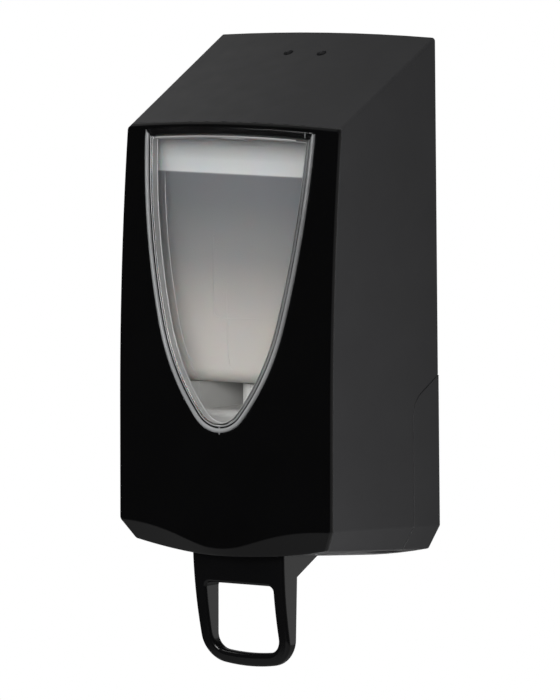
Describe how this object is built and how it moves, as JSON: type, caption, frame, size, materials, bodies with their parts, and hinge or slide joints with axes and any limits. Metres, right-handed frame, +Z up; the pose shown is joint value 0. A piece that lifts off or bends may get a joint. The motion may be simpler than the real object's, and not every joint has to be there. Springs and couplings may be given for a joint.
{
  "type": "wall mounted soap dispenser",
  "caption": "Wall mounted foam soap dispenser: tapered black cover with a shield-shaped clear window, refill tank with pump, and a ring lever under the chin that drives the pump.",
  "frame": {"origin": "centre of the four wall screw holes, on the wall", "axes": "+Y into the wall, +Z up, +X to the right for a person facing the wall"},
  "size_m": [0.1452, 0.1007, 0.3331],
  "materials": {
    "case_satin": "satin black moulded plastic with a fine grain",
    "front_gloss": "high gloss black",
    "lever_gloss": "gloss black",
    "window_clear": "clear",
    "tank_translucent": "translucent natural",
    "inner_white": "satin pale grey white",
    "latch_dark": "satin black",
    "pump_white": "smooth white",
    "foam_mesh": "fine mesh",
    "seal": "smooth",
    "bush": "natural acetal",
    "steel": "bright"
  },
  "bodies": {
    "wall_unit": {"wall_plate": "case_satin", "refill_cradle": "inner_white", "cradle_screws": "steel", "refill_bottle": "tank_translucent", "bottle_collar": "pump_white", "neck_gasket": "seal", "pump_cylinder": "pump_white", "inlet_valve": "seal", "stem_guide": "pump_white", "pump_spring": "steel", "hinge_pins": "steel", "latch_springs": "steel"},
    "pump_head": {"pump_piston": "pump_white", "piston_seal": "seal", "pump_stem": "pump_white", "nozzle_head": "pump_white", "foam_mesh": "foam_mesh"},
    "latch": {"latch_slider": "latch_dark"},
    "cover": {"cover_shell": "case_satin", "front_fascia": "front_gloss", "window_lens": "window_clear", "fascia_screws": "steel", "lever_axle": "steel", "axle_clips": "steel"},
    "lever": {"lever_handle": "lever_gloss", "lever_bushes": "bush"}
  },
  "joints": [
    {"name": "cover_hinge", "type": "hinge", "parent": "wall_unit", "child": "cover", "pos_m": [0, -0.014, -0.1325], "axis": [1, 0, 0], "range_deg": [0, 45]},
    {"name": "lever_pivot", "type": "hinge", "parent": "cover", "child": "lever", "pos_m": [0, -0.078, -0.1172], "axis": [1, 0, 0], "range_deg": [0, 18], "stiffness_Nm_per_rad": 0.42, "springref_deg": -6.88},
    {"name": "pump_stroke", "type": "slide", "parent": "wall_unit", "child": "pump_head", "axis": [0, 0, 1], "range_m": [0, 0.0102], "deforming": ["pump_spring"]},
    {"name": "latch_press", "type": "slide", "parent": "wall_unit", "child": "latch", "axis": [0, 0, -1], "range_m": [0, 0.005], "stiffness_N_per_m": 500, "springref_m": -0.003, "deforming": ["latch_springs"]}
  ],
  "couplings": [
    {"joint": "pump_stroke", "follows": "lever_pivot", "m_per_rad": 0.03246}
  ]
}
